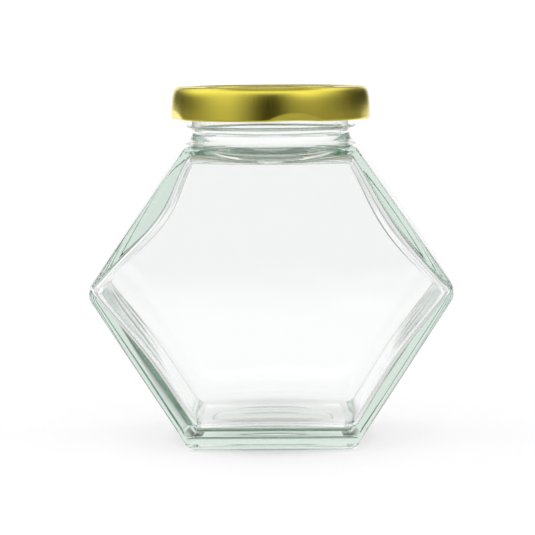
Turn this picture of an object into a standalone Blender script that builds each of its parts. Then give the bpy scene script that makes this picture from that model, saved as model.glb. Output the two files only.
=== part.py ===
"""A flat hexagonal glass jar with a round neck, closed by a gold lacquered twist-off lid.

Metres, +Z up. X runs across the hexagon, and the broad front face looks along -Y.
The origin is the middle of the base, on the surface that the jar stands on.
"""
import math

import bmesh
import bpy

# Outside of the body: half widths and heights of the hexagon's corners before they are rounded
BASE_HALF_WIDTH = 0.0275
VERTEX_HALF_WIDTH = 0.0608
VERTEX_HEIGHT = 0.0529
SHOULDER_HALF_WIDTH = 0.0292
SHOULDER_HEIGHT = 0.1001
BODY_DEPTH = 0.0620

# Roundings of the outside, looking at the front, and along the edges of the broad faces
BASE_CORNER_RADIUS = 0.0065
VERTEX_CORNER_RADIUS = 0.0055
SHOULDER_CORNER_RADIUS = 0.0045
FACE_EDGE_RADIUS = 0.0026

# Inside of the body: the side walls are thicker half way along each side than at the corners
WALL = 0.0030
FRONT_WALL = 0.0025
FLOOR_HEIGHT = 0.0075
CEILING_HEIGHT = 0.0952
WALL_BOW = 0.0012
CAVITY_CORNER_RADIUS = 0.0058
CAVITY_EDGE_RADIUS = 0.0052

# Hollow under the base, an oval dome
PUSH_UP_HALF_WIDTH = 0.0205
PUSH_UP_HALF_DEPTH = 0.0225
PUSH_UP_HEIGHT = 0.0010

# Neck and finish: a narrow collar, then the wider ring that carries the threads
NECK_RADIUS = 0.0265
NECK_FLARE = 0.0022
FINISH_RADIUS = 0.0284
FINISH_LOW = 0.1048
FINISH_STEP = 0.0009
LIP_HEIGHT = 0.1178
LIP_RADIUS = 0.0013
BORE_RADIUS = 0.0240
BORE_FLARE = 0.0020

# Threads: one under each lug of the lid, falling towards the lug
THREADS = 4
LUG_ANGLE = 14.5
THREAD_SPAN = 58.0
THREAD_LOW = 0.1113
THREAD_RISE = 0.0026
THREAD_RADIUS = 0.0013
THREAD_PROUD = 0.0009

# Lid: pressed sheet, with a stepped panel, a straight skirt and a rolled lower edge
LID_RADIUS = 0.0332
LID_TOP = 0.1185
LID_SHEET = 0.0003
LID_CORNER_RADIUS = 0.0026
LID_TAPER = 0.0001
PANEL_RADIUS = 0.0234
PANEL_STEP = 0.0009
PANEL_SLOPE = 0.0012
BUTTON_RADIUS = 0.0090
BUTTON_DROP = 0.0004
CURL_HEIGHT = 0.1086
CURL_RADIUS = 0.0010
CURL_LIP = 0.0005
LUG_DEPTH = 0.0020
LUG_HALF_ANGLE = 18.0
LUG_TOP = 0.1120

TURN_STEPS = 60
MERGE = 0.00001
CUT_CLEARANCE = 0.0010


def empty_scene():
    """Removes every object, so that the file holds only this model."""
    for thing in list(bpy.data.objects):
        bpy.data.objects.remove(thing, do_unlink=True)


def new_collection(name):
    collection = bpy.data.collections.new(name)
    bpy.context.scene.collection.children.link(collection)
    return collection


def principled(name, colour, roughness, metallic=0.0, transmission=0.0):
    """A plain material with the part's colour and gloss."""
    material = bpy.data.materials.new(name)
    material.use_nodes = True
    shader = material.node_tree.nodes["Principled BSDF"]
    shader.inputs["Base Color"].default_value = (*colour, 1.0)
    shader.inputs["Roughness"].default_value = roughness
    shader.inputs["Metallic"].default_value = metallic
    shader.inputs["Transmission Weight"].default_value = transmission
    return material


def arc(centre, radius, start, end, steps):
    """Points on a circle between two angles in degrees, both ends included."""
    points = []
    for i in range(steps + 1):
        angle = math.radians(start + (end - start) * i / steps)
        points.append((centre[0] + radius * math.cos(angle), centre[1] + radius * math.sin(angle)))
    return points


def hexagon(base_half, vertex_half, top_half, low, middle, high):
    """The six corners, anticlockwise from the lower right as seen from the front."""
    return [
        (base_half, low),
        (vertex_half, middle),
        (top_half, high),
        (-top_half, high),
        (-vertex_half, middle),
        (-base_half, low),
    ]


def unit(x, y):
    length = math.hypot(x, y)
    return x / length, y / length


def rounded(corners, radii, arc_steps, side_steps=1, bow=0.0):
    """An outline with an arc at each corner, its long sides bowed inwards by a shallow curve."""
    arcs = []
    for i, (x, y) in enumerate(corners):
        before = corners[i - 1]
        after = corners[(i + 1) % len(corners)]
        ax, ay = unit(before[0] - x, before[1] - y)
        bx, by = unit(after[0] - x, after[1] - y)
        half = math.acos(ax * bx + ay * by) / 2
        mx, my = unit(ax + bx, ay + by)
        reach = radii[i] / math.sin(half)
        centre = (x + mx * reach, y + my * reach)
        tangent = radii[i] / math.tan(half)
        start = math.degrees(math.atan2(y + ay * tangent - centre[1], x + ax * tangent - centre[0]))
        sweep = 180.0 - math.degrees(half) * 2
        arcs.append(arc(centre, radii[i], start, start + sweep, arc_steps))
    outline = []
    for i, corner_arc in enumerate(arcs):
        outline += corner_arc
        start, end = corner_arc[-1], arcs[(i + 1) % len(arcs)][0]
        along = (end[0] - start[0], end[1] - start[1])
        inward = unit(-along[1], along[0])
        for k in range(1, side_steps):
            share = k / side_steps
            depth = bow * math.sin(math.pi * share)
            outline.append((
                start[0] + along[0] * share + inward[0] * depth,
                start[1] + along[1] * share + inward[1] * depth,
            ))
    return outline


def as_mesh(curve_object, collection):
    """Turns a filled curve into a closed mesh object in the same place."""
    graph = bpy.context.evaluated_depsgraph_get()
    mesh = bpy.data.meshes.new_from_object(curve_object.evaluated_get(graph))
    shape = bmesh.new()
    shape.from_mesh(mesh)
    bmesh.ops.remove_doubles(shape, verts=shape.verts, dist=MERGE)
    bmesh.ops.recalc_face_normals(shape, faces=shape.faces)
    shape.to_mesh(mesh)
    shape.free()
    name = curve_object.name
    place = curve_object.matrix_world.copy()
    bpy.data.objects.remove(curve_object, do_unlink=True)
    solid = bpy.data.objects.new(name, mesh)
    solid.matrix_world = place
    collection.objects.link(solid)
    return solid


def slab(name, outline, depth, edge_radius, edge_steps, collection):
    """An upright slab with the given front outline and rounded edges round its broad faces."""
    curve = bpy.data.curves.new(name, "CURVE")
    curve.dimensions = "2D"
    curve.fill_mode = "BOTH"
    curve.extrude = depth / 2 - edge_radius
    curve.bevel_depth = edge_radius
    curve.bevel_resolution = edge_steps
    curve.offset = -edge_radius
    spline = curve.splines.new("POLY")
    spline.points.add(len(outline) - 1)
    for point, (x, z) in zip(spline.points, outline):
        point.co = (x, z, 0.0, 1.0)
    spline.use_cyclic_u = True
    standing = bpy.data.objects.new(name, curve)
    standing.rotation_euler = (math.radians(90.0), 0.0, 0.0)
    collection.objects.link(standing)
    bpy.context.view_layer.update()
    return as_mesh(standing, collection)


def turned(name, profile, collection):
    """A profile of (radius, height) points, top to bottom, turned round the Z axis."""
    mesh = bpy.data.meshes.new(name)
    points = [(radius, 0.0, height) for radius, height in profile]
    mesh.from_pydata(points, [(i, i + 1) for i in range(len(points) - 1)], [])
    shape = bpy.data.objects.new(name, mesh)
    collection.objects.link(shape)
    screw = shape.modifiers.new("turn", "SCREW")
    screw.steps = TURN_STEPS
    screw.render_steps = TURN_STEPS
    screw.use_merge_vertices = True
    screw.merge_threshold = MERGE
    return shape


def thread(name, lug_angle, collection):
    """One raised thread, a bar with slim ends that runs round the finish and falls towards its lug."""
    curve = bpy.data.curves.new(name, "CURVE")
    curve.dimensions = "3D"
    curve.bevel_depth = THREAD_RADIUS
    curve.bevel_resolution = 2
    curve.use_fill_caps = True
    steps = 10
    spline = curve.splines.new("POLY")
    spline.points.add(steps)
    radius = FINISH_RADIUS + THREAD_PROUD - THREAD_RADIUS / 2
    for i, point in enumerate(spline.points):
        share = i / steps
        angle = math.radians(lug_angle - 90.0 + THREAD_SPAN * (share - 0.15))
        height = THREAD_LOW + THREAD_RISE * share
        point.co = (radius * math.cos(angle), radius * math.sin(angle), height, 1.0)
        point.radius = 0.45 + 0.55 * math.sin(math.pi * min(1.0, 0.12 + 0.76 * share)) ** 0.5
    bar = bpy.data.objects.new(name, curve)
    collection.objects.link(bar)
    bpy.context.view_layer.update()
    return as_mesh(bar, collection)


def combine(target, tool, operation):
    """Adds the tool to the target, or cuts it out, and hides the tool as a guide."""
    step = target.modifiers.new(f"{operation.lower()} {tool.name}", "BOOLEAN")
    step.operation = operation
    step.solver = "EXACT"
    step.object = tool
    tool.hide_render = True
    tool.display_type = "WIRE"


def neck_profile():
    """The collar and the thread ring on it, from the lip down into the shoulder."""
    flare_centre = (NECK_RADIUS + NECK_FLARE, SHOULDER_HEIGHT + NECK_FLARE)
    lip_centre = (FINISH_RADIUS - LIP_RADIUS, LIP_HEIGHT - LIP_RADIUS)
    step_centre = (FINISH_RADIUS - FINISH_STEP, FINISH_LOW + FINISH_STEP)
    profile = [(0.0, LIP_HEIGHT)]
    profile += arc(lip_centre, LIP_RADIUS, 90.0, 0.0, 4)
    profile += arc(step_centre, FINISH_STEP, 0.0, -90.0, 3)
    profile += [(NECK_RADIUS, FINISH_LOW - FINISH_STEP / 2)]
    profile += arc(flare_centre, NECK_FLARE, 180.0, 270.0, 4)
    sunk = CEILING_HEIGHT + CUT_CLEARANCE
    profile += [(NECK_RADIUS + NECK_FLARE, sunk), (0.0, sunk)]
    return profile


def bore_profile():
    """The way in through the neck, opening out at the lip and where it meets the body's inside."""
    lip_centre = (BORE_RADIUS + LIP_RADIUS, LIP_HEIGHT - LIP_RADIUS)
    flare_centre = (BORE_RADIUS + BORE_FLARE, CEILING_HEIGHT + BORE_FLARE)
    above = LIP_HEIGHT + CUT_CLEARANCE
    below = CEILING_HEIGHT - CAVITY_EDGE_RADIUS
    profile = [(0.0, above), (lip_centre[0], above)]
    profile += arc(lip_centre, LIP_RADIUS, 90.0, 180.0, 3)
    profile += arc(flare_centre, BORE_FLARE, 180.0, 265.0, 3)
    profile += [(flare_centre[0], below), (0.0, below)]
    return profile


def cavity_outline():
    """The inside of the body, as far from the sloping sides as the wall is thick."""
    lean_low = math.atan2(VERTEX_HALF_WIDTH - BASE_HALF_WIDTH, VERTEX_HEIGHT)
    lean_high = math.atan2(VERTEX_HALF_WIDTH - SHOULDER_HALF_WIDTH, SHOULDER_HEIGHT - VERTEX_HEIGHT)
    low_inset = WALL / math.cos(lean_low)
    high_inset = WALL / math.cos(lean_high)
    base_half = BASE_HALF_WIDTH + FLOOR_HEIGHT * math.tan(lean_low) - low_inset
    top_half = SHOULDER_HALF_WIDTH + (SHOULDER_HEIGHT - CEILING_HEIGHT) * math.tan(lean_high) - high_inset
    vertex_half = VERTEX_HALF_WIDTH - (low_inset + high_inset) / 2
    corners = hexagon(base_half, vertex_half, top_half, FLOOR_HEIGHT, VERTEX_HEIGHT, CEILING_HEIGHT)
    return rounded(corners, [CAVITY_CORNER_RADIUS] * 6, 4, 5, WALL_BOW)


def push_up(collection):
    """The oval dome that is pressed up into the base."""
    shape = bmesh.new()
    bmesh.ops.create_uvsphere(shape, u_segments=36, v_segments=12, radius=1.0)
    bmesh.ops.scale(shape, verts=shape.verts, vec=(PUSH_UP_HALF_WIDTH, PUSH_UP_HALF_DEPTH, PUSH_UP_HEIGHT))
    mesh = bpy.data.meshes.new("push_up")
    shape.to_mesh(mesh)
    shape.free()
    dome = bpy.data.objects.new("push_up", mesh)
    collection.objects.link(dome)
    return dome


def make_jar(parts, cutters):
    """The glass body with its neck and threads, hollow and open at the mouth."""
    corners = hexagon(
        BASE_HALF_WIDTH, VERTEX_HALF_WIDTH, SHOULDER_HALF_WIDTH, 0.0, VERTEX_HEIGHT, SHOULDER_HEIGHT
    )
    low, side, high = BASE_CORNER_RADIUS, VERTEX_CORNER_RADIUS, SHOULDER_CORNER_RADIUS
    outline = rounded(corners, [low, side, high, high, side, low], 5)
    jar = slab("jar", outline, BODY_DEPTH, FACE_EDGE_RADIUS, 3, parts)
    combine(jar, turned("neck", neck_profile(), cutters), "UNION")
    for i in range(THREADS):
        combine(jar, thread(f"thread_{i + 1}", LUG_ANGLE + 360.0 / THREADS * i, cutters), "UNION")
    inner_depth = BODY_DEPTH - 2 * FRONT_WALL
    cavity = slab("cavity", cavity_outline(), inner_depth, CAVITY_EDGE_RADIUS, 3, cutters)
    combine(jar, cavity, "DIFFERENCE")
    combine(jar, turned("bore", bore_profile(), cutters), "DIFFERENCE")
    combine(jar, push_up(cutters), "DIFFERENCE")
    jar.data.materials.append(principled("clear_glass", (0.90, 0.96, 0.93), 0.02, transmission=1.0))
    return jar


def lid_profile():
    """The pressed sheet's outside, from the middle of the panel out, down and round the rolled edge."""
    corner_centre = (LID_RADIUS - LID_CORNER_RADIUS, LID_TOP - LID_CORNER_RADIUS)
    curl_centre = (LID_RADIUS + LID_TAPER - CURL_RADIUS, CURL_HEIGHT)
    panel = LID_TOP - PANEL_STEP
    profile = [(0.0, panel - BUTTON_DROP), (BUTTON_RADIUS, panel - BUTTON_DROP)]
    profile += [(BUTTON_RADIUS + PANEL_SLOPE, panel), (PANEL_RADIUS - PANEL_SLOPE, panel)]
    profile += [(PANEL_RADIUS, LID_TOP)]
    profile += arc(corner_centre, LID_CORNER_RADIUS, 90.0, 0.0, 4)
    profile += [(LID_RADIUS + LID_TAPER / 2, LUG_TOP), (LID_RADIUS + LID_TAPER, (LUG_TOP + CURL_HEIGHT) / 2)]
    profile += arc(curl_centre, CURL_RADIUS, 0.0, -180.0, 5)
    profile += [(curl_centre[0] - CURL_RADIUS, CURL_HEIGHT + CURL_LIP)]
    return profile


def press_lugs(mesh):
    """Pushes the rolled edge inwards at the lugs, less towards the ends and the top of each."""
    for vertex in mesh.vertices:
        x, y, z = vertex.co
        radius = math.hypot(x, y)
        if z > LUG_TOP or radius < BORE_RADIUS:
            continue
        bearing = math.degrees(math.atan2(y, x)) + 90.0 - LUG_ANGLE
        pitch = 360.0 / THREADS
        off = (bearing + pitch / 2) % pitch - pitch / 2
        if abs(off) >= LUG_HALF_ANGLE:
            continue
        across = math.cos(math.pi / 2 * off / LUG_HALF_ANGLE) ** 2
        down = min(1.0, (LUG_TOP - z) / (LUG_TOP - CURL_HEIGHT))
        pushed = radius - LUG_DEPTH * across * down
        vertex.co = (x * pushed / radius, y * pushed / radius, z)


def make_lid(parts, cutters):
    """The twist-off lid: thin sheet with four lugs pressed into its rolled edge."""
    guide = turned("lid_turning", lid_profile(), cutters)
    graph = bpy.context.evaluated_depsgraph_get()
    mesh = bpy.data.meshes.new_from_object(guide.evaluated_get(graph))
    bpy.data.objects.remove(guide, do_unlink=True)
    press_lugs(mesh)
    lid = bpy.data.objects.new("lid", mesh)
    parts.objects.link(lid)
    sheet = lid.modifiers.new("sheet", "SOLIDIFY")
    sheet.thickness = LID_SHEET
    sheet.offset = -1.0
    mesh.shade_smooth()
    mesh.set_sharp_from_angle(angle=math.radians(40.0))
    lid.data.materials.append(principled("gold_lacquer", (0.72, 0.56, 0.10), 0.25, metallic=1.0))
    return lid


def main():
    empty_scene()
    parts = new_collection("hexagonal_jar")
    cutters = new_collection("cutters")
    root = bpy.data.objects.new("jar_base_centre", None)
    parts.objects.link(root)
    for piece in (make_jar(parts, cutters), make_lid(parts, cutters)):
        piece.parent = root


main()
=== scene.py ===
"""Looks of the empty hexagonal glass jar and its gold lacquered twist-off lid."""
import math

import bmesh
import bpy
from mathutils import Matrix, Vector


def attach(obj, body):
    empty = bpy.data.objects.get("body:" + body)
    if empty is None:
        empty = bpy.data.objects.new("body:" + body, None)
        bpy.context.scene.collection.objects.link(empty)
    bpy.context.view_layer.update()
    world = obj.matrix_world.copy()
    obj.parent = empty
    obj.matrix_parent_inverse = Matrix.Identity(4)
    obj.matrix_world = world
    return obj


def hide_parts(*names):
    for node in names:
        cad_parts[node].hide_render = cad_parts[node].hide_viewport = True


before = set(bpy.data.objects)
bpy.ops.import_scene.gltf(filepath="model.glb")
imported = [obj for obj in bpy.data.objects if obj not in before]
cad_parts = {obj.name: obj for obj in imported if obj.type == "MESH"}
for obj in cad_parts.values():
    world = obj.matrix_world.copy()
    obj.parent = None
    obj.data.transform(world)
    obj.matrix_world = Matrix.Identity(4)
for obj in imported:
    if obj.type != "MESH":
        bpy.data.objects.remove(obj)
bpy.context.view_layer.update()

# Outside of the body, in metres: sharp corners of the hexagon, then their roundings
BASE_HALF_WIDTH = 0.0275
VERTEX_HALF_WIDTH = 0.0611
VERTEX_HEIGHT = 0.0529
SHOULDER_HALF_WIDTH = 0.0292
SHOULDER_HEIGHT = 0.1001
BODY_DEPTH = 0.0620
BASE_CORNER_RADIUS = 0.0065
VERTEX_CORNER_RADIUS = 0.0055
SHOULDER_CORNER_RADIUS = 0.0045
FACE_EDGE_RADIUS = 0.0026

# How far the sides are drawn in at the front and back, from mid depth: the upper ones outside, the upper
# ones inside and the height over which that sets in, and the lower ones
DRAFT = 0.0016
INNER_DRAFT = 0.0009
INNER_DRAFT_RISE = 0.006
LOWER_DRAFT = 0.0012

# Glass thickness of the broad front and back, then at the six corners, anticlockwise from the lower
# right: the side that ends there, the side that starts there, and the inner corner's rounding
FRONT_WALL = 0.0025
CORNER_WALLS = {
    "base_right": (0.0075, 0.0042, 0.0036),
    "vertex_right": (0.0019, 0.0022, 0.0034),
    "shoulder_right": (0.0034, 0.0036, 0.0036),
    "shoulder_left": (0.0034, 0.0036, 0.0036),
    "vertex_left": (0.0019, 0.0019, 0.0034),
    "base_left": (0.0062, 0.0075, 0.0036),
}

# How much thicker each side's glass is part way along it, where along it that is, how broad the inner
# rounding between the side and the broad faces is there, and how sharply the thick part peaks. Last,
# how broad that rounding is at the corners
SIDE_BOWS = {
    "lower_right": (0.0014, 0.5, 0.0030, 1.4),
    "upper_right": (0.0016, 0.5, 0.0046, 1.4),
    "shoulder": (0.0018, 0.5, 0.0012, 1.4),
    "upper_left": (0.0031, 0.40, 0.0034, 2.1),
    "lower_left": (0.0013, 0.5, 0.0028, 1.4),
    "floor": (0.0002, 0.5, 0.0040, 1.4),
}
EDGE_AT_CORNERS = 0.0028

# Hollow under the base
PUSH_UP_HALF_WIDTH = 0.0205
PUSH_UP_HALF_DEPTH = 0.0225
PUSH_UP_HEIGHT = 0.0010
PUSH_UP_STEPS = 96

# Neck, finish ring, bore and threads
NECK_RADIUS = 0.0265
NECK_FLARE = 0.0024
NECK_FLARE_RISE = 0.0032
FINISH_RADIUS = 0.0284
FINISH_LOW = 0.1048
FINISH_STEP = 0.0009
FINISH_FILLET = 0.0004
LIP_HEIGHT = 0.1178
LIP_RADIUS = 0.0013
BORE_RADIUS = 0.0240
BORE_MOUTH_RADIUS = 0.0283
BORE_SLOPE_TOP = 0.0994
BORE_SLOPE_EASE = 0.10
BORE_END = 0.0915
THREADS = 4
LUG_ANGLE = 14.5
THREAD_SPAN = 58.0
THREAD_BEFORE_LUG = 0.15
THREAD_TIP = 0.45
THREAD_BLUNTNESS = 0.12
THREAD_LOW = 0.1113
THREAD_RISE = 0.0026
THREAD_RADIUS = 0.0013
THREAD_PROUD = 0.0009

# Lid: flat rim, softly rounded skirt, rolled lower edge and pressed lugs
LID_RADIUS = 0.0332
LID_TOP = 0.1185
LID_SHEET = 0.0003
RIM_RADIUS = 0.0306
RIM_EASE = 0.0019
BEAD_RADIUS = 0.0284
BEAD_STEP = 0.0003
SKIRT_LOW = 0.1096
SKIRT_EASE = 0.0066
PANEL_RADIUS = 0.0234
PANEL_STEP = 0.0009
PANEL_SLOPE = 0.0012
BUTTON_RADIUS = 0.0090
BUTTON_DROP = 0.0004
CURL_HEIGHT = 0.1082
CURL_RADIUS = 0.0006
CURL_LIP = 0.0005
LUG_DEPTH = 0.0009
LUG_HALF_ANGLE = 23.0
LUG_RISE = 0.0031
LUG_ARCH = 0.7
LUG_CREASE = 0.0026
LUG_LIFT = 0.0003

# How finely the shapes are divided
TURN_STEPS = 144
LID_STEPS = 240
CORNER_STEPS = 10
SIDE_STEPS = 24
EDGE_STEPS = 8
LIP_STEPS = 8
RING_STEPS = 6
FILLET_STEPS = 3
FLARE_STEPS = 12
BORE_STEPS = 16
THREAD_STEPS = 36
SKIRT_STEPS = 44
PRESSING_STEPS = 8
CURL_STEPS = 16

# How far tools reach past the glass, how close points are that count as one, at one place or at one
# corner, and the angles in degrees past which edges stay sharp
CLEARANCE = 0.0010
MERGE = 0.000002
SAME_PLACE = 0.00002
SAME_CORNER = 0.003
JAR_SHARP = 35.0
LID_SHARP = 50.0

# Finishes: how strongly the glass bends and tints light and how uneven it is, and the two shades that
# each coat of the lid drifts between
GLASS_IOR = 1.52
GLASS_TINT = (0.44, 0.63, 0.51, 1.0)
GLASS_TINT_DENSITY = 12.0
GLASS_UNEVENNESS = 0.00012
GOLD_SHADES = ((0.93, 0.79, 0.100, 1.0), (0.96, 0.83, 0.125, 1.0))
ENAMEL_SHADES = ((0.80, 0.88, 0.82, 1.0), (0.86, 0.94, 0.88, 1.0))

# Camera, as the photograph was taken: close to level, a little above the lid
CAMERA_DISTANCE = 0.740
CAMERA_HEIGHT = 0.1334
CAMERA_SIDE = -0.00145
CAMERA_PITCH = 5.86
CAMERA_ROLL = -0.40
CAMERA_TURN = 0.6
FOCAL_PIXELS = 2202.0
IMAGE_PIXELS = 535.0
SENSOR_MM = 36.0

# Table: its ends, where it starts to fade out in front, how unevenly it does, how white it is, and how
# much light comes up through it
TABLE_FRONT = -0.54
TABLE_BACK = 6.0
TABLE_SIDE = 2.5
TABLE_FADE_START = -0.34
TABLE_DRIFT = 0.3
TABLE_WHITE = 0.28
TABLE_GLOW = 0.75

# What the lid and the glass see of the table, with painted shade in front of the jar: its level behind and in
# front of the jar, between which two depths it falls, how much sooner out to the sides, and the share of the
# fall that the glass misses
TABLE_BEHIND_LEVEL = 1.04
TABLE_PAINTED_FRONT_SHADE_LEVEL = 0.38
TABLE_FALL = (-0.01, -0.11)
TABLE_FALL_TO_SIDES = 0.9
TABLE_THROUGH_GLASS = 0.35

# Painted shade on the table under the jar, and the painted wide faint shadow round it: the half lengths of an
# oval of size 1, as 1 over each, then the level inside each shade and the sizes of oval over which it clears
SHADE_OVAL = (31.0, 27.0, 0.0)
UNDER_JAR_PAINTED_SHADE_LEVEL = 0.72
UNDER_JAR_REACH = (0.60, 1.22)
WIDE_PAINTED_SHADOW_LEVEL = 0.94
WIDE_SHADOW_REACH = (0.9, 2.0)

# Room: the white page behind, the dimmer room above it, the room in front, the extra light on matt
# surfaces, and the least light that the glass sees at the sides, with where it starts and is full
PAGE = 1.07
ROOM_ABOVE = 0.45
ROOM_IN_FRONT = 1.08
MATT_FILL = 0.75
SIDES_THROUGH_GLASS = 0.85
SIDES_REACH = (0.35, 0.75)

# How bright the room in front is, low down and higher up, by degrees round from the front, and the
# heights over which one passes into the other and then into the light from above
LOW_LIGHT = (
    (-180, 0.20), (-145, 0.20), (-122, 0.16), (-105, 0.26), (-91, 0.46), (-78, 0.74), (-67, 0.94),
    (-56, 1.04), (-46, 1.03), (-36, 0.78), (-27, 0.52), (-17, 0.23), (-8, 0.03), (2, 0.02), (10, 0.06),
    (20, 0.36), (29, 0.53), (39, 0.59), (49, 0.63), (59, 0.55), (70, 0.47), (82, 0.34), (94, 0.24),
    (109, 0.12), (127, 0.07), (180, 0.07),
)
HIGH_LIGHT = (
    (-180, 0.4), (-150, 0.5), (-122, 0.9), (-105, 1.1), (-80, 0.95), (-60, 0.9), (-46, 0.85),
    (-36, 0.62), (-27, 0.50), (-17, 0.30), (-8, 0.10), (0, 0.05), (10, 0.12), (20, 0.42), (29, 0.72),
    (39, 1.0), (49, 1.05), (70, 0.75), (90, 0.45), (109, 0.16), (127, 0.14), (145, 0.30), (180, 0.30),
)
LOW_TO_HIGH = (0.12, 0.42)
HIGH_TO_ABOVE = (0.42, 0.76)

# How bright the room is from straight down (0) to straight up (1): in front for the boxes, in front for
# the light from above, and behind. Last, where the page is (1) and isn't (0), by degrees from the front
FRONT_HEIGHTS = (
    (0.0, 0.40), (0.45, 0.42), (0.5, 0.48), (0.585, 0.60), (0.67, 0.78), (0.75, 0.95), (0.82, 1.0),
    (1.0, 1.0),
)
ABOVE_HEIGHTS = ((0.0, 1.0), (0.90, 1.0), (0.955, 0.33), (0.975, 0.33), (1.0, ROOM_ABOVE))
PAGE_HEIGHTS = (
    (0.0, 1.02), (0.63, 1.02), (0.69, 0.18), (0.80, 0.15), (0.88, 0.38), (1.0, ROOM_ABOVE / PAGE),
)
PAGE_EDGES = ((-180, 1.0), (-162, 1.0), (-150, 0.0), (153, 0.0), (165, 1.0), (180, 1.0))

# How many times light is followed through the glass and off surfaces
GLASS_BOUNCES = 48
MATT_BOUNCES = 12


def nothing_selected():
    """Takes every object out of the selection."""
    for other in bpy.context.selected_objects:
        other.select_set(False)


def work_on(thing):
    """Makes one object the only selected and active one."""
    nothing_selected()
    thing.select_set(True)
    bpy.context.view_layer.objects.active = thing


def new_primitive(name):
    """Names the primitive that an operator has just added, and puts its place in its mesh."""
    thing = bpy.context.object
    thing.name = name
    thing.data.name = name
    bpy.ops.object.transform_apply(location=True, rotation=True, scale=True)
    return thing


def pick(thing, kind, test):
    """In edit mode, selects the vertices or edges that pass a test on their points."""
    bpy.ops.mesh.select_mode(type={"verts": "VERT", "edges": "EDGE"}[kind])
    bpy.ops.mesh.select_all(action="DESELECT")
    cage = bmesh.from_edit_mesh(thing.data)
    for element in getattr(cage, kind):
        points = [element.co] if kind == "verts" else [v.co for v in element.verts]
        if test(points):
            element.select = True
    cage.select_flush_mode()
    bmesh.update_edit_mesh(thing.data)


def near(a, b, room=SAME_PLACE):
    """Whether two numbers are as good as the same."""
    return abs(a - b) < room


def unit(x, y):
    """A direction, one long."""
    length = math.hypot(x, y)
    return x / length, y / length


def arc(centre, radius, start, end, steps):
    """Points on a circle between two angles in degrees, both ends included."""
    points = []
    for i in range(steps + 1):
        angle = math.radians(start + (end - start) * i / steps)
        points.append((centre[0] + radius * math.cos(angle), centre[1] + radius * math.sin(angle)))
    return points


def smooth_step(start, end, steps):
    """A rounded step in a sheet between two (radius, height) points."""
    points = []
    for i in range(steps + 1):
        share = i / steps
        rise = (1 - math.cos(math.pi * share)) / 2
        points.append((start[0] + (end[0] - start[0]) * share, start[1] + (end[1] - start[1]) * rise))
    return points


def lean_angles():
    """How far the lower and the upper sloping sides lean out from the vertical."""
    low = math.atan2(VERTEX_HALF_WIDTH - BASE_HALF_WIDTH, VERTEX_HEIGHT)
    high = math.atan2(VERTEX_HALF_WIDTH - SHOULDER_HALF_WIDTH, SHOULDER_HEIGHT - VERTEX_HEIGHT)
    return low, high


def apply_all(thing):
    """Applies an object's modifiers, in their order."""
    work_on(thing)
    for modifier in list(thing.modifiers):
        bpy.ops.object.modifier_apply(modifier=modifier.name)


def combine(target, tool, operation):
    """Joins a tool to the target or cuts it out, and removes the tool."""
    step = target.modifiers.new(operation, "BOOLEAN")
    step.operation = operation
    step.solver = "EXACT"
    step.object = tool
    apply_all(target)
    bpy.data.objects.remove(tool, do_unlink=True)


def draw_in_sides(block):
    """Leans the sides in towards the front and back, by moving the block's corners."""
    half = BODY_DEPTH / 2
    low, high = lean_angles()
    slide = DRAFT / math.sin(low + high)
    out = LOWER_DRAFT / 2 / math.sin(low + high)
    vertex_narrower = slide * math.sin(low) - out * math.sin(high)
    vertex_lower = slide * math.cos(low) - out * math.cos(high)
    drawn = (
        (half, SHOULDER_HEIGHT, SHOULDER_HALF_WIDTH, DRAFT / math.cos(high), 0.0),
        (half, VERTEX_HEIGHT, VERTEX_HALF_WIDTH, vertex_narrower, vertex_lower),
        (half, 0.0, BASE_HALF_WIDTH, LOWER_DRAFT / 2 / math.cos(low), 0.0),
        (0.0, VERTEX_HEIGHT, VERTEX_HALF_WIDTH, out * math.sin(high), -out * math.cos(high)),
        (0.0, 0.0, BASE_HALF_WIDTH, -LOWER_DRAFT / 2 / math.cos(low), 0.0),
    )
    for depth, height, width, narrower, lower in drawn:
        pick(block, "verts", lambda p: near(abs(p[0].y), depth) and near(p[0].z, height))
        bpy.ops.transform.resize(value=(1 - narrower / width, 1.0, 1.0), center_override=(0.0, 0.0, height))
        bpy.ops.transform.translate(value=(0.0, 0.0, -lower))


def round_edges(block):
    """Rounds the hexagon's six corners, then the edges round the two broad faces."""
    low, high = lean_angles()
    corners = (
        (VERTEX_HEIGHT, VERTEX_HALF_WIDTH, VERTEX_CORNER_RADIUS, math.pi - low - high),
        (0.0, BASE_HALF_WIDTH, BASE_CORNER_RADIUS, math.pi / 2 + low),
        (SHOULDER_HEIGHT, SHOULDER_HALF_WIDTH, SHOULDER_CORNER_RADIUS, math.pi / 2 + high),
    )
    for height, width, radius, inner_angle in corners:
        pick(block, "edges", lambda p: all(
            near(q.z, height, SAME_CORNER) and near(abs(q.x), width, SAME_CORNER) for q in p
        ))
        bpy.ops.mesh.bevel(offset=radius / math.tan(inner_angle / 2), segments=CORNER_STEPS, affect="EDGES")
    pick(block, "edges", lambda p: all(near(abs(q.y), BODY_DEPTH / 2) for q in p) and near(p[0].y, p[1].y))
    bpy.ops.mesh.bevel(offset=FACE_EDGE_RADIUS, segments=EDGE_STEPS, affect="EDGES")


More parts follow.
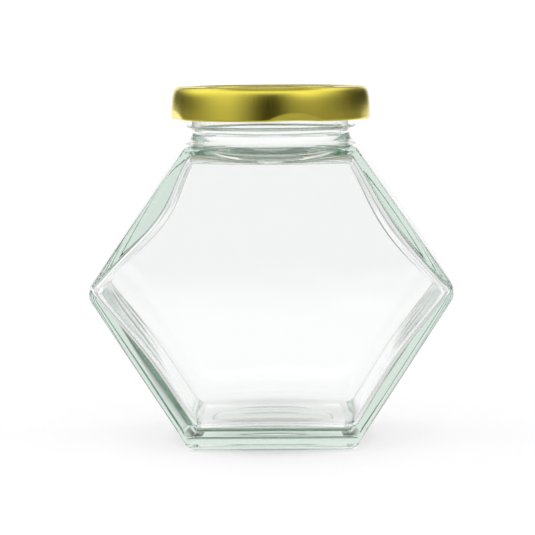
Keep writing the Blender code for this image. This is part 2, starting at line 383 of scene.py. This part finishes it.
def hexagon_block():
    """The solid outside of the body: a block drawn out to the side corners, with all edges rounded."""
    nothing_selected()
    bpy.ops.mesh.primitive_cube_add(
        size=1.0,
        location=(0.0, 0.0, SHOULDER_HEIGHT / 2),
        scale=(2 * SHOULDER_HALF_WIDTH, BODY_DEPTH, SHOULDER_HEIGHT),
    )
    block = new_primitive("glass_jar")
    bpy.ops.object.mode_set(mode="EDIT")
    for place, way in (((0.0, 0.0, VERTEX_HEIGHT), (0.0, 0.0, 1.0)), ((0.0, 0.0, 0.0), (0.0, 1.0, 0.0))):
        bpy.ops.mesh.select_all(action="SELECT")
        bpy.ops.mesh.bisect(plane_co=place, plane_no=way)
    for height, width in ((VERTEX_HEIGHT, VERTEX_HALF_WIDTH), (0.0, BASE_HALF_WIDTH)):
        pick(block, "verts", lambda p: near(p[0].z, height))
        share = width / SHOULDER_HALF_WIDTH
        bpy.ops.transform.resize(value=(share, 1.0, 1.0), center_override=(0.0, 0.0, height))
    pick(block, "edges", lambda p: all(near(q.z, VERTEX_HEIGHT) for q in p) and near(p[0].y, p[1].y))
    bpy.ops.mesh.dissolve_edges()
    draw_in_sides(block)
    round_edges(block)
    bpy.ops.object.mode_set(mode="OBJECT")
    return block


def turned(name, profile, steps=TURN_STEPS):
    """Spins a profile of (radius, height) points, drawn from the axis, round the Z axis."""
    nothing_selected()
    bpy.ops.mesh.primitive_plane_add(size=0.001)
    shape = new_primitive(name)
    bpy.ops.object.mode_set(mode="EDIT")
    bpy.ops.mesh.select_mode(type="VERT")
    bpy.ops.mesh.select_all(action="SELECT")
    bpy.ops.mesh.merge(type="CENTER")
    bpy.ops.transform.translate(value=(profile[0][0], 0.0, profile[0][1]))
    for (r0, z0), (r1, z1) in zip(profile, profile[1:]):
        bpy.ops.mesh.extrude_vertices_move(TRANSFORM_OT_translate={"value": (r1 - r0, 0.0, z1 - z0)})
    bpy.ops.mesh.select_all(action="SELECT")
    bpy.ops.mesh.spin(
        steps=steps, angle=2 * math.pi, center=(0.0, 0.0, 0.0), axis=(0.0, 0.0, 1.0), use_auto_merge=True
    )
    bpy.ops.mesh.select_all(action="SELECT")
    bpy.ops.mesh.remove_doubles(threshold=MERGE)
    bpy.ops.mesh.normals_make_consistent(inside=False)
    bpy.ops.object.mode_set(mode="OBJECT")
    return shape


def neck_profile():
    """Collar and finish ring, from the lip down into the shoulder."""
    lip = (FINISH_RADIUS - LIP_RADIUS, LIP_HEIGHT - LIP_RADIUS)
    step = (FINISH_RADIUS - FINISH_STEP, FINISH_LOW + FINISH_STEP)
    fillet = (NECK_RADIUS + FINISH_FILLET, FINISH_LOW - FINISH_FILLET)
    sunk = min(BORE_END, SHOULDER_HEIGHT) + CLEARANCE
    profile = [(0.0, LIP_HEIGHT)]
    profile += arc(lip, LIP_RADIUS, 90.0, 0.0, LIP_STEPS)
    profile += arc(step, FINISH_STEP, 0.0, -90.0, RING_STEPS)
    profile += arc(fillet, FINISH_FILLET, 90.0, 180.0, FILLET_STEPS)
    for i in range(FLARE_STEPS + 1):
        angle = math.radians(90.0 * i / FLARE_STEPS)
        profile.append((
            NECK_RADIUS + NECK_FLARE * (1 - math.cos(angle)),
            SHOULDER_HEIGHT + NECK_FLARE_RISE * (1 - math.sin(angle)),
        ))
    profile += [(NECK_RADIUS + NECK_FLARE, sunk), (0.0, sunk)]
    return profile


def rounding_drop(distance, flat_half, radius):
    """How far a rounded edge has fallen away at a distance from the middle of the flat."""
    over = max(0.0, abs(distance) - flat_half)
    return radius - math.sqrt(max(0.0, radius * radius - over * over))


def neck():
    """The neck, whose flare follows the shoulder down where the shoulder rounds off."""
    shape = turned("neck", neck_profile())
    high = lean_angles()[1]
    flat_x = SHOULDER_HALF_WIDTH - SHOULDER_CORNER_RADIUS / math.tan((math.pi / 2 + high) / 2)
    flat_y = BODY_DEPTH / 2 - FACE_EDGE_RADIUS
    for vertex in shape.data.vertices:
        x, y, z = vertex.co
        if z < SHOULDER_HEIGHT - MERGE or z > SHOULDER_HEIGHT + NECK_FLARE_RISE:
            continue
        share = 1 - (z - SHOULDER_HEIGHT) / NECK_FLARE_RISE
        drop = rounding_drop(x, flat_x, SHOULDER_CORNER_RADIUS) + rounding_drop(y, flat_y, FACE_EDGE_RADIUS)
        vertex.co.z = z - drop * share
    return shape


def bore_profile():
    """The way in through the neck, opening out at the lip and into the body."""
    lip = (BORE_RADIUS + LIP_RADIUS, LIP_HEIGHT - LIP_RADIUS)
    ceiling = SHOULDER_HEIGHT - CORNER_WALLS["shoulder_right"][1] - SIDE_BOWS["shoulder"][0]
    fall = BORE_SLOPE_TOP - ceiling
    out = BORE_MOUTH_RADIUS - BORE_RADIUS
    profile = [(0.0, LIP_HEIGHT + CLEARANCE), (lip[0], LIP_HEIGHT + CLEARANCE)]
    profile += arc(lip, LIP_RADIUS, 90.0, 180.0, LIP_STEPS)
    for i in range(BORE_STEPS + 1):
        share = i / BORE_STEPS
        wider = share - BORE_SLOPE_EASE * math.sin(2 * math.pi * share) * (1 - share)
        profile.append((BORE_RADIUS + out * wider, BORE_SLOPE_TOP - fall * share))
    profile += [(BORE_MOUTH_RADIUS, BORE_END), (0.0, BORE_END)]
    return profile


def thread(name, lug_angle):
    """A raised thread with slim ends, falling towards its lug."""
    curve = bpy.data.curves.new(name, "CURVE")
    curve.dimensions = "3D"
    curve.bevel_depth = THREAD_RADIUS
    curve.bevel_resolution = 5
    curve.use_fill_caps = True
    spline = curve.splines.new("POLY")
    spline.points.add(THREAD_STEPS)
    radius = FINISH_RADIUS + THREAD_PROUD - THREAD_RADIUS / 2
    for i, point in enumerate(spline.points):
        share = i / THREAD_STEPS
        angle = math.radians(lug_angle - 90.0 + THREAD_SPAN * (share - THREAD_BEFORE_LUG))
        point.co = (radius * math.cos(angle), radius * math.sin(angle), THREAD_LOW + THREAD_RISE * share, 1.0)
        place = THREAD_BLUNTNESS + (1 - 2 * THREAD_BLUNTNESS) * share
        swell = math.sqrt(math.sin(math.pi * place))
        point.radius = THREAD_TIP + (1 - THREAD_TIP) * swell
    bar = bpy.data.objects.new(name, curve)
    bpy.context.scene.collection.objects.link(bar)
    work_on(bar)
    bpy.ops.object.convert(target="MESH")
    bar = bpy.context.object
    bpy.ops.object.mode_set(mode="EDIT")
    bpy.ops.mesh.select_all(action="SELECT")
    bpy.ops.mesh.remove_doubles(threshold=MERGE)
    bpy.ops.mesh.normals_make_consistent(inside=False)
    bpy.ops.object.mode_set(mode="OBJECT")
    return bar


def crossing(line_a, line_b):
    """Where two lines cross, each given by a point and a direction."""
    (px, py), (dx, dy) = line_a
    (qx, qy), (ex, ey) = line_b
    along = ((qx - px) * ey - (qy - py) * ex) / (dx * ey - dy * ex)
    return px + dx * along, py + dy * along


def inner_corners():
    """The sharp corners of the body's inside, each as deep in the glass as its two walls are thick."""
    outside = [
        (BASE_HALF_WIDTH, 0.0), (VERTEX_HALF_WIDTH, VERTEX_HEIGHT), (SHOULDER_HALF_WIDTH, SHOULDER_HEIGHT),
        (-SHOULDER_HALF_WIDTH, SHOULDER_HEIGHT), (-VERTEX_HALF_WIDTH, VERTEX_HEIGHT), (-BASE_HALF_WIDTH, 0.0),
    ]
    corners = []
    for i, (before_wall, after_wall, _radius) in enumerate(CORNER_WALLS.values()):
        here, before, after = outside[i], outside[i - 1], outside[(i + 1) % 6]
        d0 = unit(here[0] - before[0], here[1] - before[1])
        d1 = unit(after[0] - here[0], after[1] - here[1])
        line_a = ((here[0] - d0[1] * before_wall, here[1] + d0[0] * before_wall), d0)
        line_b = ((here[0] - d1[1] * after_wall, here[1] + d1[0] * after_wall), d1)
        corners.append(crossing(line_a, line_b))
    return corners


def inner_outline():
    """Points round the inside of the body, each with its way inwards and its edge rounding."""
    corners = inner_corners()
    arcs = []
    for i, (_before_wall, _after_wall, radius) in enumerate(CORNER_WALLS.values()):
        (x, z), before, after = corners[i], corners[i - 1], corners[(i + 1) % 6]
        a = unit(before[0] - x, before[1] - z)
        b = unit(after[0] - x, after[1] - z)
        half = math.acos(a[0] * b[0] + a[1] * b[1]) / 2
        middle = unit(a[0] + b[0], a[1] + b[1])
        reach = radius / math.sin(half)
        centre = (x + middle[0] * reach, z + middle[1] * reach)
        tangent = radius / math.tan(half)
        start = math.degrees(math.atan2(z + a[1] * tangent - centre[1], x + a[0] * tangent - centre[0]))
        sweep = 180.0 - math.degrees(half) * 2
        arcs.append((centre, arc(centre, radius, start, start + sweep, CORNER_STEPS)))
    outline = []
    for i, (bow, place, edge, peak) in enumerate(SIDE_BOWS.values()):
        centre, points = arcs[i]
        for point in points:
            outline.append((point, unit(centre[0] - point[0], centre[1] - point[1]), EDGE_AT_CORNERS))
        start, end = points[-1], arcs[(i + 1) % 6][1][0]
        along = (end[0] - start[0], end[1] - start[1])
        inward = unit(-along[1], along[0])
        warp = math.log(0.5) / math.log(place)
        for k in range(1, SIDE_STEPS):
            share = k / SIDE_STEPS
            bulge = math.sin(math.pi * share ** warp) ** peak
            point = (
                start[0] + along[0] * share + inward[0] * bow * bulge,
                start[1] + along[1] * share + inward[1] * bow * bulge,
            )
            outline.append((point, inward, EDGE_AT_CORNERS + (edge - EDGE_AT_CORNERS) * bulge))
    return outline


def inner_rings():
    """The inside's cross sections from front to back, drawn in over the rounded edges."""
    half = BODY_DEPTH / 2 - FRONT_WALL
    turns = [(-1, turn) for turn in range(EDGE_STEPS + 1)] + [(0, EDGE_STEPS)]
    turns += [(1, turn) for turn in range(EDGE_STEPS, -1, -1)]
    outline = inner_outline()
    rings = []
    for end, turn in turns:
        angle = math.pi / 2 * turn / EDGE_STEPS
        ring = []
        for (x, z), inward, radius in outline:
            y = end * (half - radius * (1 - math.cos(angle)))
            upper = min(1.0, max(0.0, (z - VERTEX_HEIGHT) / INNER_DRAFT_RISE + 0.5)) * abs(inward[0])
            inset = radius * (1 - math.sin(angle)) + INNER_DRAFT * upper * abs(y) / half
            ring.append((x + inward[0] * inset, y, z + inward[1] * inset))
        rings.append(ring)
    return rings


def cavity():
    """The inside of the body: one ring of points extruded through its cross sections and closed."""
    rings = inner_rings()
    nothing_selected()
    bpy.ops.mesh.primitive_circle_add(vertices=len(rings[0]), radius=0.05, fill_type="NOTHING")
    hollow = new_primitive("cavity")
    for vertex, point in zip(hollow.data.vertices, rings[0]):
        vertex.co = point
    bpy.ops.object.mode_set(mode="EDIT")
    bpy.ops.mesh.select_mode(type="EDGE")
    bpy.ops.mesh.select_all(action="SELECT")
    bpy.ops.mesh.edge_face_add()
    for ring, following in zip(rings, rings[1:]):
        bpy.ops.mesh.extrude_region_move()
        cage = bmesh.from_edit_mesh(hollow.data)
        places = [Vector(point) for point in ring]
        for vertex in [v for v in cage.verts if v.select]:
            index = min(range(len(places)), key=lambda i: (places[i] - vertex.co).length)
            vertex.co = following[index]
        bmesh.update_edit_mesh(hollow.data)
    bpy.ops.mesh.select_all(action="SELECT")
    bpy.ops.mesh.normals_make_consistent(inside=False)
    bpy.ops.object.mode_set(mode="OBJECT")
    return hollow


def push_up():
    """The oval dome pressed up into the base."""
    nothing_selected()
    bpy.ops.mesh.primitive_uv_sphere_add(
        segments=PUSH_UP_STEPS,
        ring_count=PUSH_UP_STEPS // 3,
        radius=1.0,
        scale=(PUSH_UP_HALF_WIDTH, PUSH_UP_HALF_DEPTH, PUSH_UP_HEIGHT),
    )
    return new_primitive("push_up")


def glass_jar():
    """The whole glass: block, neck and threads, with its inside cut out."""
    jar = hexagon_block()
    combine(jar, neck(), "UNION")
    for i in range(THREADS):
        combine(jar, thread(f"thread_{i + 1}", LUG_ANGLE + 360.0 / THREADS * i), "UNION")
    combine(jar, cavity(), "DIFFERENCE")
    combine(jar, turned("bore", bore_profile()), "DIFFERENCE")
    combine(jar, push_up(), "DIFFERENCE")
    work_on(jar)
    bpy.ops.object.mode_set(mode="EDIT")
    bpy.ops.mesh.select_all(action="SELECT")
    bpy.ops.mesh.remove_doubles(threshold=MERGE)
    bpy.ops.object.mode_set(mode="OBJECT")
    bpy.ops.object.shade_smooth_by_angle(angle=math.radians(JAR_SHARP))
    weigh = jar.modifiers.new("flat_faces_stay_flat", "WEIGHTED_NORMAL")
    weigh.keep_sharp = True
    weigh.weight = 100
    apply_all(jar)
    jar.data.materials.clear()
    jar.data.materials.append(clear_glass())
    return jar


def skirt():
    """From the flat rim over the soft corner and down the skirt, in one curve."""
    ends = ((RIM_RADIUS, LID_TOP), (LID_RADIUS, SKIRT_LOW))
    pulls = ((RIM_RADIUS + RIM_EASE, LID_TOP), (LID_RADIUS, SKIRT_LOW + SKIRT_EASE))
    points = []
    for i in range(SKIRT_STEPS + 1):
        t = i / SKIRT_STEPS
        shares = ((1 - t) ** 3, 3 * t * (1 - t) ** 2, 3 * t * t * (1 - t), t ** 3)
        corners = (ends[0], pulls[0], pulls[1], ends[1])
        points.append(tuple(sum(s * c[k] for s, c in zip(shares, corners)) for k in (0, 1)))
    return points


def lid_profile():
    """The sheet's outside, from the middle of the panel out, down and round the rolled edge."""
    curl = (LID_RADIUS - CURL_RADIUS, CURL_HEIGHT)
    panel = LID_TOP - PANEL_STEP
    button = panel - BUTTON_DROP
    bead = LID_TOP - BEAD_STEP
    profile = [(0.0, button)]
    profile += smooth_step((BUTTON_RADIUS, button), (BUTTON_RADIUS + PANEL_SLOPE, panel), PRESSING_STEPS)
    profile += smooth_step((PANEL_RADIUS - PANEL_SLOPE, panel), (PANEL_RADIUS, bead), PRESSING_STEPS)
    profile += smooth_step((BEAD_RADIUS - PANEL_SLOPE, bead), (BEAD_RADIUS, LID_TOP), PRESSING_STEPS)
    profile += skirt()
    profile += [(LID_RADIUS, SKIRT_LOW + (CURL_HEIGHT - SKIRT_LOW) * share) for share in (0.25, 0.5, 0.75)]
    profile += arc(curl, CURL_RADIUS, 0.0, -180.0, CURL_STEPS)
    profile += [(curl[0] - CURL_RADIUS, CURL_HEIGHT + CURL_LIP)]
    return profile


def press_lugs(lid):
    """Pushes the rolled edge in at the four lugs, up to an arched crease."""
    pitch = 360.0 / THREADS
    low = CURL_HEIGHT - CURL_RADIUS
    for vertex in lid.data.vertices:
        x, y, z = vertex.co
        radius = math.hypot(x, y)
        bearing = math.degrees(math.atan2(y, x)) + 90.0 - LUG_ANGLE
        off = (bearing + pitch / 2) % pitch - pitch / 2
        if radius < BORE_RADIUS or abs(off) >= LUG_HALF_ANGLE:
            continue
        across = math.cos(math.pi / 2 * off / LUG_HALF_ANGLE) ** 2
        arch = low + LUG_RISE * across ** LUG_ARCH
        if z >= arch:
            continue
        down = min(1.0, (arch - z) / LUG_CREASE)
        down = down * down * (3 - 2 * down)
        pushed = radius - LUG_DEPTH * across * down
        vertex.co = (x * pushed / radius, y * pushed / radius, z + LUG_LIFT * across * down)


def gold_lid():
    """The lid's thin sheet, turned, with its lugs pressed in, then given its thickness and pale inside."""
    lid = turned("gold_lid", lid_profile(), LID_STEPS)
    lid.data.materials.append(gold_lacquer())
    lid.data.materials.append(white_enamel())
    press_lugs(lid)
    work_on(lid)
    rim = [p for p in lid.data.polygons if p.center.z > LID_TOP - PANEL_STEP * 0.5]
    if sum(p.normal.z * p.area for p in rim) < 0:
        lid.data.flip_normals()
    sheet = lid.modifiers.new("sheet", "SOLIDIFY")
    sheet.thickness = LID_SHEET
    sheet.offset = -1.0
    sheet.material_offset = 1
    apply_all(lid)
    bpy.ops.object.shade_smooth_by_angle(angle=math.radians(LID_SHARP))
    return lid


class Signal:
    """An output socket, with the sums that are done on it."""

    def __init__(self, finish, socket):
        self.finish = finish
        self.socket = socket

    def sum(self, operation, first, second):
        """The result of one sum on two values."""
        return self.finish.node("ShaderNodeMath", {"operation": operation}, {0: first, 1: second})

    def __add__(self, other):
        return self.sum("ADD", self, other)

    def __sub__(self, other):
        return self.sum("SUBTRACT", self, other)

    def __mul__(self, other):
        return self.sum("MULTIPLY", self, other)

    __radd__ = __add__
    __rmul__ = __mul__

    def least(self, other):
        """The lesser of two values."""
        return self.sum("MINIMUM", self, other)

    def most(self, other):
        """The greater of two values."""
        return self.sum("MAXIMUM", self, other)

    def size(self):
        """The value without its sign."""
        return self.sum("ABSOLUTE", self, 0.0)


class Finish:
    """A node tree, and the one way that nodes are added to it."""

    def __init__(self, tree):
        self.tree = tree
        tree.nodes.clear()

    def node(self, kind, settings=None, sockets=None, output=0):
        """Adds a node with its settings and socket values, and gives back one of its outputs."""
        node = self.tree.nodes.new(kind)
        for name, value in (settings or {}).items():
            if name == "stops":
                self.set_stops(node.color_ramp, value)
            else:
                setattr(node, name, value)
        for name, value in (sockets or {}).items():
            if isinstance(value, Signal):
                self.tree.links.new(value.socket, node.inputs[name])
            else:
                node.inputs[name].default_value = value
        return Signal(self, node.outputs[output]) if len(node.outputs) else node

    @staticmethod
    def set_stops(ramp, stops):
        """Gives a ramp its stops, each a place from 0 to 1 and a grey level."""
        while len(ramp.elements) < len(stops):
            ramp.elements.new(1.0)
        for element, (place, level) in zip(ramp.elements, stops):
            element.position = place
            element.color = (level, level, level, 1.0)


def new_material(name):
    """A new material with an empty node tree."""
    material = bpy.data.materials.new(name)
    material.use_nodes = True
    return material, Finish(material.node_tree)


def coordinates(finish, vector):
    """The x, y and z of a vector."""
    parts = finish.node("ShaderNodeSeparateXYZ", {}, {0: vector}).socket.node
    return [Signal(finish, socket) for socket in parts.outputs]


def eased(finish, value, reach, first, last):
    """A level that passes smoothly from the first to the last while a value crosses its reach."""
    return finish.node("ShaderNodeMapRange", {"interpolation_type": "SMOOTHSTEP"}, {
        0: value, 1: reach[0], 2: reach[1], 3: first, 4: last,
    })


def between(finish, share, first, last):
    """A mix of two levels."""
    return finish.node("ShaderNodeMix", {}, {0: share, 2: first, 3: last})


def ray(finish, kind):
    """One of the light path's outputs, such as whether a ray comes straight from the camera."""
    return finish.node("ShaderNodeLightPath", output=kind)


def matt_fill(finish):
    """Extra light for rays that come from a matt surface, as from lamps that the photograph doesn't show."""
    return ray(finish, "Diffuse Depth").least(1.0) * MATT_FILL + 1.0


def through_glass(finish):
    """1 for rays that have gone through glass, 0 for the others."""
    return ray(finish, "Transmission Depth").least(1.0)


def clear_glass():
    """Soda-lime glass: clear and slightly uneven, green where the light goes a long way through it."""
    material, finish = new_material("clear_glass")
    place = finish.node("ShaderNodeTexCoord", output="Object")
    slow = finish.node("ShaderNodeTexNoise", {}, {"Vector": place, "Scale": 32.0, "Detail": 1.0})
    ripple = finish.node("ShaderNodeTexNoise", {}, {"Vector": place, "Scale": 150.0, "Detail": 1.0})
    bump = finish.node("ShaderNodeBump", {}, {
        "Height": slow + ripple * 0.1, "Strength": 1.0, "Distance": GLASS_UNEVENNESS,
    })
    shader = finish.node("ShaderNodeBsdfPrincipled", {}, {
        "Base Color": (1.0, 1.0, 1.0, 1.0),
        "Roughness": 0.0,
        "IOR": GLASS_IOR,
        "Transmission Weight": 1.0,
        "Normal": bump,
    })
    tint = finish.node("ShaderNodeVolumeAbsorption", {}, {
        "Color": GLASS_TINT, "Density": GLASS_TINT_DENSITY,
    })
    finish.node("ShaderNodeOutputMaterial", {}, {"Surface": shader, "Volume": tint})
    return material


def gold_lacquer():
    """Gold lacquered tinplate: a soft satin gloss with the sheet's fine rolling grain."""
    material, finish = new_material("gold_lacquer")
    place = finish.node("ShaderNodeTexCoord", output="Object")
    stretched = finish.node("ShaderNodeMapping", {}, {"Vector": place, "Scale": (1.0, 1.0, 0.04)})
    grain = finish.node("ShaderNodeTexNoise", {}, {"Vector": stretched, "Scale": 1600.0, "Detail": 3.0})
    cloud = finish.node("ShaderNodeTexNoise", {}, {"Vector": place, "Scale": 90.0, "Detail": 2.0})
    colour = finish.node("ShaderNodeMix", {"data_type": "RGBA"}, {
        0: cloud, 6: GOLD_SHADES[0], 7: GOLD_SHADES[1],
    }, 2)
    bump = finish.node("ShaderNodeBump", {}, {"Height": grain, "Strength": 0.3, "Distance": 0.00002})
    shader = finish.node("ShaderNodeBsdfPrincipled", {}, {
        "Base Color": colour,
        "Metallic": 1.0,
        "Roughness": 0.17 + grain * 0.10 + cloud * 0.04,
        "Normal": bump,
    })
    finish.node("ShaderNodeOutputMaterial", {}, {"Surface": shader})
    return material


def white_enamel():
    """The pale protective lacquer on the lid's inside."""
    material, finish = new_material("white_enamel")
    place = finish.node("ShaderNodeTexCoord", output="Object")
    mottle = finish.node("ShaderNodeTexNoise", {}, {"Vector": place, "Scale": 220.0, "Detail": 3.0})
    colour = finish.node("ShaderNodeMix", {"data_type": "RGBA"}, {
        0: mottle, 6: ENAMEL_SHADES[0], 7: ENAMEL_SHADES[1],
    }, 2)
    shader = finish.node("ShaderNodeBsdfPrincipled", {}, {
        "Base Color": colour,
        "Roughness": 0.30 + mottle * 0.10,
    })
    finish.node("ShaderNodeOutputMaterial", {}, {"Surface": shader})
    return material


def table_level(finish, place, along):
    """How bright the table looks: to the camera, and to the lid and the glass, with painted shade under and
    round the jar.
    """
    x, _y, _z = coordinates(finish, place)
    fall = along - x.size() * TABLE_FALL_TO_SIDES
    # painted shade: the table darkens in front of the jar for the lid and the glass
    seen_level_with_painted_front_shade = eased(finish, fall, TABLE_FALL, TABLE_BEHIND_LEVEL, TABLE_PAINTED_FRONT_SHADE_LEVEL)
    seen_level_with_painted_front_shade = between(finish, through_glass(finish) * TABLE_THROUGH_GLASS, seen_level_with_painted_front_shade, TABLE_BEHIND_LEVEL)
    oval = finish.node("ShaderNodeVectorMath", {"operation": "MULTIPLY"}, {0: place, 1: SHADE_OVAL})
    across = finish.node("ShaderNodeVectorMath", {"operation": "LENGTH"}, {0: oval}, "Value")
    # painted shade on the table under the jar, and a painted wide shadow round it that only the camera sees
    painted_under_jar_shade = eased(finish, across, UNDER_JAR_REACH, UNDER_JAR_PAINTED_SHADE_LEVEL, 1.0)
    painted_wide_shadow = eased(finish, across, WIDE_SHADOW_REACH, WIDE_PAINTED_SHADOW_LEVEL, 1.0)
    return painted_under_jar_shade * matt_fill(finish) * between(finish, ray(finish, "Is Camera Ray"), seen_level_with_painted_front_shade, painted_wide_shadow)


def table_white():
    """Matt white, lit from below, which clears away in front."""
    material, finish = new_material("table_white")
    place = finish.node("ShaderNodeTexCoord", output="Object")
    drift = finish.node("ShaderNodeTexNoise", {}, {"Vector": place, "Scale": 9.0, "Detail": 1.0})
    along = coordinates(finish, place)[1] + (drift - 0.5) * TABLE_DRIFT
    level = table_level(finish, place, along)
    white = level * TABLE_WHITE
    glow = level * TABLE_GLOW
    shader = finish.node("ShaderNodeBsdfPrincipled", {}, {
        "Base Color": finish.node("ShaderNodeCombineXYZ", {}, {0: white, 1: white, 2: white}),
        "Roughness": 0.8,
        "Specular IOR Level": 0.0,
        "Emission Color": finish.node("ShaderNodeCombineXYZ", {}, {0: glow, 1: glow, 2: glow}),
        "Emission Strength": 1.0,
    })
    gone = finish.node("ShaderNodeBsdfTransparent")
    fade = eased(finish, along, (TABLE_FADE_START, TABLE_FRONT), 0.0, 1.0)
    both = finish.node("ShaderNodeMixShader", {}, {0: fade, 1: shader, 2: gone})
    finish.node("ShaderNodeOutputMaterial", {}, {"Surface": both})
    return material


def pale_table():
    """The plain pale table, which ends a little in front of the jar."""
    nothing_selected()
    middle = (TABLE_FRONT + TABLE_BACK) / 2
    bpy.ops.mesh.primitive_plane_add(size=1.0, location=(0.0, middle, 0.0))
    bpy.context.object.scale = (2 * TABLE_SIDE, TABLE_BACK - TABLE_FRONT, 1.0)
    table = new_primitive("table")
    table.data.materials.append(table_white())


def bearings(levels):
    """Ramp stops from (degrees round from the front, level) pairs."""
    return [(degrees / 360.0 + 0.5, level) for degrees, level in levels]


def ramp(finish, stops, value):
    """A grey level read from stops."""
    return finish.node("ShaderNodeValToRGB", {"stops": stops}, {0: value})


def studio_light():
    """A white page behind, two soft boxes in front with a dark gap between them, and light from above."""
    world = bpy.data.worlds.new("studio")
    bpy.context.scene.world = world
    world.use_nodes = True
    finish = Finish(world.node_tree)
    x, y, z = coordinates(finish, finish.node("ShaderNodeTexCoord", output="Generated"))
    bearing = finish.node("ShaderNodeMath", {"operation": "ARCTAN2"}, {0: x, 1: -1.0 * y})
    side = bearing * (0.5 / math.pi) + 0.5
    height = z * 0.5 + 0.5
    low = ramp(finish, bearings(LOW_LIGHT), side)
    high = ramp(finish, bearings(HIGH_LIGHT), side)
    rise = eased(finish, z, LOW_TO_HIGH, 0.0, 1.0)
    boxes = between(finish, rise, low, high) * ramp(finish, FRONT_HEIGHTS, height)
    above = eased(finish, z, HIGH_TO_ABOVE, 0.0, 1.0)
    front = between(finish, above, boxes, ramp(finish, ABOVE_HEIGHTS, height)) * ROOM_IN_FRONT
    behind = ramp(finish, PAGE_HEIGHTS, height) * PAGE
    sideways = eased(finish, x.size(), SIDES_REACH, 0.0, SIDES_THROUGH_GLASS)
    room = between(finish, ramp(finish, bearings(PAGE_EDGES), side), front, behind)
    room = room.most(sideways * through_glass(finish))
    level = between(finish, ray(finish, "Is Camera Ray"), room * matt_fill(finish), PAGE)
    glow = finish.node("ShaderNodeBackground", {}, {"Color": (1.0, 1.0, 1.0, 1.0), "Strength": level})
    finish.node("ShaderNodeOutputWorld", {}, {"Surface": glow})


def camera():
    """The photograph's camera: its place, slight downward pitch and roll, and its lens."""
    data = bpy.data.cameras.new("camera")
    data.sensor_width = SENSOR_MM
    data.lens = FOCAL_PIXELS * SENSOR_MM / IMAGE_PIXELS
    data.clip_start = 0.05
    data.clip_end = 50.0
    view = bpy.data.objects.new("camera", data)
    turn = Matrix.Rotation(math.radians(CAMERA_TURN), 4, "Z")
    place = Matrix.Translation((CAMERA_SIDE, -CAMERA_DISTANCE, CAMERA_HEIGHT))
    pitch = Matrix.Rotation(math.radians(90.0 - CAMERA_PITCH), 4, "X")
    roll = Matrix.Rotation(math.radians(CAMERA_ROLL), 4, "Z")
    view.matrix_world = turn @ place @ pitch @ roll
    bpy.context.scene.collection.objects.link(view)
    bpy.context.scene.camera = view


def stands_for(piece, node):
    """Puts a piece in the place of its CAD node."""
    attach(piece, "root")
    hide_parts(node)


def main():
    """The jar and its lid, then the table and the light."""
    camera()
    stands_for(glass_jar(), "jar")
    stands_for(gold_lid(), "lid")
    pale_table()
    studio_light()
    scene = bpy.context.scene
    scene.view_settings.view_transform = "Standard"
    scene.cycles.max_bounces = GLASS_BOUNCES
    scene.cycles.transmission_bounces = GLASS_BOUNCES
    scene.cycles.glossy_bounces = GLASS_BOUNCES
    scene.cycles.diffuse_bounces = MATT_BOUNCES


main()
